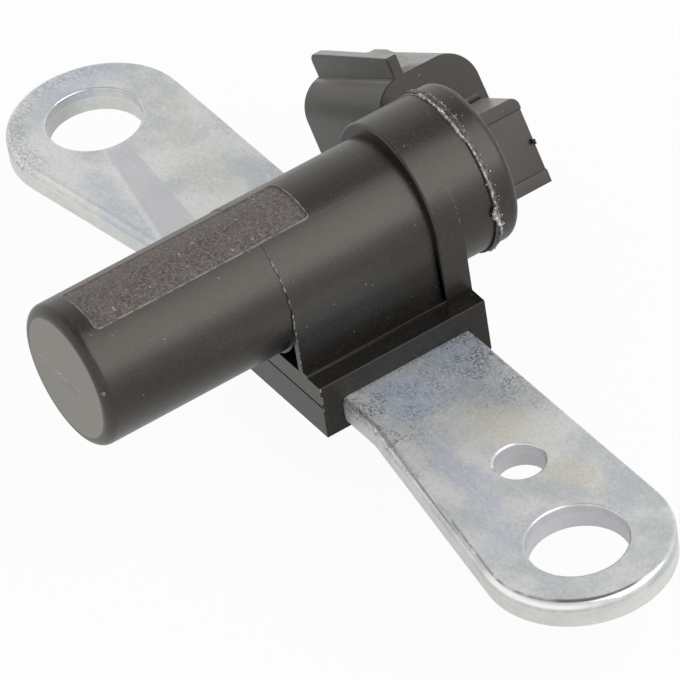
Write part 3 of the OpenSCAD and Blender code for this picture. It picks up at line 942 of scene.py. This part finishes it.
SADDLE_FLASH_TURN = (36.0, 101.0)
SADDLE_STEPS = 150
WEB_FLASH_Z = (11.4, 6.2)
WEB_STEPS = 26
CORNER_FLECKS = 9
CORNER_FLECK_Z = (2.6, 5.6)
GATE_TURN = math.radians(71)
GATE_R = 7.68
GATE_SIZE = (0.26, 0.24, 0.28)
SPRUE_PLACE = (-2.11, 28.74, 9.66)
SPRUE_SIZE = (0.34, 0.24, 0.28)


def saddle_ridge(shape, draw):
    """The broken parting line along the front edge of the saddle."""
    rows = []
    low, high = SADDLE_FLASH_TURN
    for step in range(SADDLE_STEPS):
        turn = math.radians(low + (high - low) * step / SADDLE_STEPS)
        walk = Vector((math.sin(turn) * 8, math.cos(turn) * 8, 3.0))
        body = 0.12 + noise.noise(walk * 1.1) + 0.3 * noise.noise(walk * 3.0)
        if body < -0.14:
            rows.append(None)
            continue
        half = 0.08 + 0.06 * max(0.0, body) + draw.uniform(-0.035, 0.035)
        height = 0.045 + 0.05 * max(0.0, body) + draw.uniform(-0.025, 0.03)
        middle, outward = round_axis(turn, SADDLE_R, SADDLE_Y, SADDLE_Z)
        rows.append((middle, outward, half, height))
    broken_strand(shape, rows)


def web_ridge(shape, draw):
    """The same line down the front edge of the right web."""
    rows = []
    high, low = WEB_FLASH_Z
    for step in range(WEB_STEPS):
        z = high + (low - high) * step / (WEB_STEPS - 1)
        half = draw.uniform(0.03, 0.08)
        height = draw.uniform(0.01, 0.05)
        rows.append((Vector((SADDLE_R, SADDLE_Y, z)), Vector((1, 0, 0)), half, height))
    strand(shape, rows, False)


def corner_flecks(shape, draw):
    """Flecks of flash up the front corner of the block."""
    for index in range(CORNER_FLECKS):
        size = draw.uniform(0.05, 0.11)
        corner = (BLOCK_HALF_W - 0.06, SADDLE_Y + 0.06, draw.uniform(*CORNER_FLECK_Z))
        lump(shape, corner, (size, size, size * 1.6), 20 + index)


def mould_marks():
    """Parting flash on the saddle, the web and the block, and the gate speck on the rim of the tip."""
    draw = random.Random(8)
    shape = bmesh.new()
    saddle_ridge(shape, draw)
    web_ridge(shape, draw)
    gate, _ = round_axis(GATE_TURN, GATE_R, TIP_Y + 0.32, AXIS_Z)
    lump(shape, gate, GATE_SIZE, 2)
    corner_flecks(shape, draw)
    finish_flash("mould_flash", shape, parting_plastic)


def neck_nub():
    """A torn sprue on the edge of the neck's panel."""
    shape = bmesh.new()
    lump(shape, SPRUE_PLACE, SPRUE_SIZE, 4)
    finish_flash("neck_nub", shape, cap_plastic)


weld_flash()
mould_marks()
neck_nub()


# Floor, light and camera

FLOOR_SIZE = 6.0
FLOOR_PAPER = (0.62, 0.62, 0.62, 1)
FLOOR_SEEN_WHITE = 0.95
FLOOR_MIRRORED_WHITE = (0.95, 0.25)
FLOOR_FADE = (-0.05, 0.05)
FLOOR_FADE_SLANT = 1.2
WHITE = (1, 1, 1, 1)
SKY_RISE = (0.45, 1.1)
SKY_LEVEL = (1.0, 0.3)
SOFTBOX_SIZE = (1.0, 1.12)
SOFTBOX_POWER = 6.5
SOFTBOX_TOWARDS = (0.585, 0.395, 0.715)
SOFTBOX_AWAY = 1.0
PHOTO_PX = 680
FOCAL_PX = 7958.2
SENSOR_MM = 36.0
CAMERA_AZ = -1.0837
CAMERA_EL = 0.6996
CAMERA_ROLL = 0.1654
ORIGIN_PX = (330.21, 343.33)
ORIGIN_DEPTH_MM = 824.68


def floor_white(tree):
    """Share of plain white in the floor: most for the camera.

    In mirror and see-through rays it fades to one side.
    """
    path = add(tree, "ShaderNodeLightPath").outputs
    shiny = calc(tree, "MAXIMUM", path["Is Glossy Ray"], path["Is Transmission Ray"])
    seen = calc(tree, "MULTIPLY", path["Is Camera Ray"], FLOOR_SEEN_WHITE)
    axes = split(tree, add(tree, "ShaderNodeTexCoord").outputs["Object"])
    aside = calc(tree, "ADD", axes[0], calc(tree, "MULTIPLY", axes[1], FLOOR_FADE_SLANT))
    mirrored = ramp(tree, aside, *FLOOR_FADE, *FLOOR_MIRRORED_WHITE)
    return calc(tree, "MAXIMUM", seen, calc(tree, "MULTIPLY", shiny, mirrored))


def make_floor():
    half = FLOOR_SIZE / 2
    z = cad_box[0][2]
    mesh = bpy.data.meshes.new("floor")
    corners = [(-half, -half, z), (half, -half, z), (half, half, z), (-half, half, z)]
    mesh.from_pydata(corners, [], [(0, 1, 2, 3)])
    floor = bpy.data.objects.new("floor", mesh)
    bpy.context.scene.collection.objects.link(floor)
    made = bpy.data.materials.new("floor_white")
    made.use_nodes = True
    tree = made.node_tree
    tree.nodes.clear()
    paper = add(tree, "ShaderNodeBsdfDiffuse", {"Color": FLOOR_PAPER}).outputs[0]
    white = add(tree, "ShaderNodeEmission", {"Color": WHITE, "Strength": 1.0}).outputs[0]
    mixed = add(tree, "ShaderNodeMixShader", {0: floor_white(tree), 1: paper, 2: white}).outputs[0]
    add(tree, "ShaderNodeOutputMaterial", {"Surface": mixed})
    mesh.materials.append(made)


def make_world():
    """White sky that grows darker overhead."""
    world = bpy.data.worlds.new("studio")
    bpy.context.scene.world = world
    world.use_nodes = True
    tree = world.node_tree
    tree.nodes.clear()
    up = split(tree, add(tree, "ShaderNodeTexCoord").outputs["Generated"])[2]
    level = ramp(tree, up, *SKY_RISE, *SKY_LEVEL)
    shade = add(tree, "ShaderNodeBackground", {"Color": WHITE, "Strength": level}).outputs[0]
    add(tree, "ShaderNodeOutputWorld", {"Surface": shade})


def make_softbox():
    lamp = bpy.data.lights.new("softbox", "AREA")
    lamp.shape = "RECTANGLE"
    lamp.size, lamp.size_y = SOFTBOX_SIZE
    lamp.energy = SOFTBOX_POWER
    softbox = bpy.data.objects.new("softbox", lamp)
    bpy.context.scene.collection.objects.link(softbox)
    towards = Vector(SOFTBOX_TOWARDS).normalized()
    softbox.location = towards * SOFTBOX_AWAY
    softbox.rotation_euler = towards.to_track_quat("Z", "Y").to_euler()


def make_camera():
    """The photograph's camera, from its angles and from where it shows the origin."""
    forward = Vector((
        math.sin(CAMERA_AZ) * math.cos(CAMERA_EL),
        math.cos(CAMERA_AZ) * math.cos(CAMERA_EL),
        -math.sin(CAMERA_EL),
    ))
    level = Vector((math.cos(CAMERA_AZ), -math.sin(CAMERA_AZ), 0.0))
    down = forward.cross(level)
    right = math.cos(CAMERA_ROLL) * level + math.sin(CAMERA_ROLL) * down
    below = -math.sin(CAMERA_ROLL) * level + math.cos(CAMERA_ROLL) * down
    across = (ORIGIN_PX[0] - PHOTO_PX / 2) / FOCAL_PX * ORIGIN_DEPTH_MM
    drop = (ORIGIN_PX[1] - PHOTO_PX / 2) / FOCAL_PX * ORIGIN_DEPTH_MM
    place = -(across * right + drop * below + ORIGIN_DEPTH_MM * forward) * MM
    lens = bpy.data.cameras.new("camera")
    lens.sensor_width = SENSOR_MM
    lens.lens = FOCAL_PX / PHOTO_PX * SENSOR_MM
    lens.clip_start = 0.05
    lens.clip_end = 20.0
    camera = bpy.data.objects.new("camera", lens)
    bpy.context.scene.collection.objects.link(camera)
    turn = Matrix((right, -below, -forward)).transposed().to_4x4()
    camera.matrix_world = Matrix.Translation(place) @ turn
    bpy.context.scene.camera = camera


make_floor()
make_world()
make_softbox()
make_camera()
bpy.context.scene.view_settings.view_transform = "Standard"
